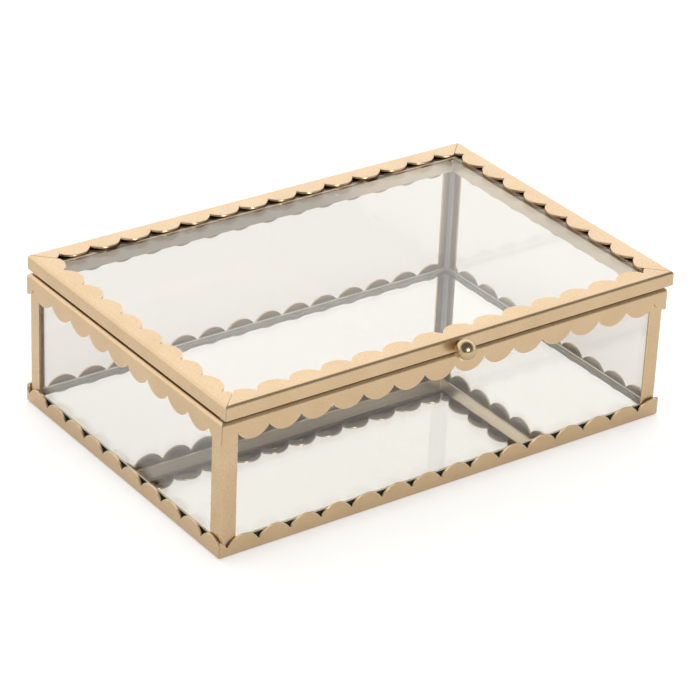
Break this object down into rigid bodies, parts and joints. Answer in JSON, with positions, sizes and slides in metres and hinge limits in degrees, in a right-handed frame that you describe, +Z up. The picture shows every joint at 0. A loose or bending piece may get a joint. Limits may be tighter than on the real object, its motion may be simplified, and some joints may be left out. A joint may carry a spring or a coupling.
{
  "type": "vanity trinket box",
  "caption": "Low rectangular glass box with a mirror floor, a hinged glass lid with a ball knob, and scalloped folded-metal edging.",
  "frame": {"origin": "on the table, under the middle of the base's felt underside", "axes": "+Z up, +X along the long side to the right when the knob faces the viewer, +Y towards the hinges"},
  "size_m": [0.2008, 0.1466, 0.0623],
  "materials": {
    "champagne_metal": "satin champagne-gold lacquer on folded steel sheet, fine grain",
    "polished_brass": "polished",
    "hinge_metal": "satin",
    "pin_steel": "drawn wire",
    "clear_glass": "clear float glass, ground edges",
    "mirror_glass": "silvered float glass",
    "backing_board": "hardboard",
    "felt": "pressed felt",
    "clear_silicone": "clear silicone"
  },
  "bodies": {
    "base": {"felt_pad": "felt", "base_board": "backing_board", "mirror_floor": "mirror_glass", "bottom_rail_front": "champagne_metal", "bottom_rail_right": "champagne_metal", "bottom_rail_back": "champagne_metal", "bottom_rail_left": "champagne_metal", "corner_post_front_left": "champagne_metal", "corner_post_front_right": "champagne_metal", "corner_post_back_right": "champagne_metal", "corner_post_back_left": "champagne_metal", "side_pane_front": "clear_glass", "side_pane_right": "clear_glass", "side_pane_back": "clear_glass", "side_pane_left": "clear_glass", "corner_beads": "clear_silicone", "rim_rail_front": "champagne_metal", "rim_rail_right": "champagne_metal", "rim_rail_back": "champagne_metal", "rim_rail_left": "champagne_metal", "rim_collar": "champagne_metal", "lid_bumpers": "clear_silicone", "hinge_base_leaf_left": "hinge_metal", "hinge_base_leaf_right": "hinge_metal", "hinge_pin_left": "pin_steel", "hinge_pin_right": "pin_steel"},
    "lid": {"lid_rail_front": "champagne_metal", "lid_rail_right": "champagne_metal", "lid_rail_back": "champagne_metal", "lid_rail_left": "champagne_metal", "lid_pane": "clear_glass", "lid_pane_bead": "clear_silicone", "lid_seat_frame": "champagne_metal", "hinge_lid_leaf_left": "hinge_metal", "hinge_lid_leaf_right": "hinge_metal", "knob_ball": "polished_brass", "knob_rivet": "polished_brass"}
  },
  "joints": [
    {"name": "lid_hinge", "type": "hinge", "parent": "base", "child": "lid", "pos_m": [0, 0.0682, 0.0553], "axis": [-1, 0, 0], "range_deg": [0, 100]}
  ]
}
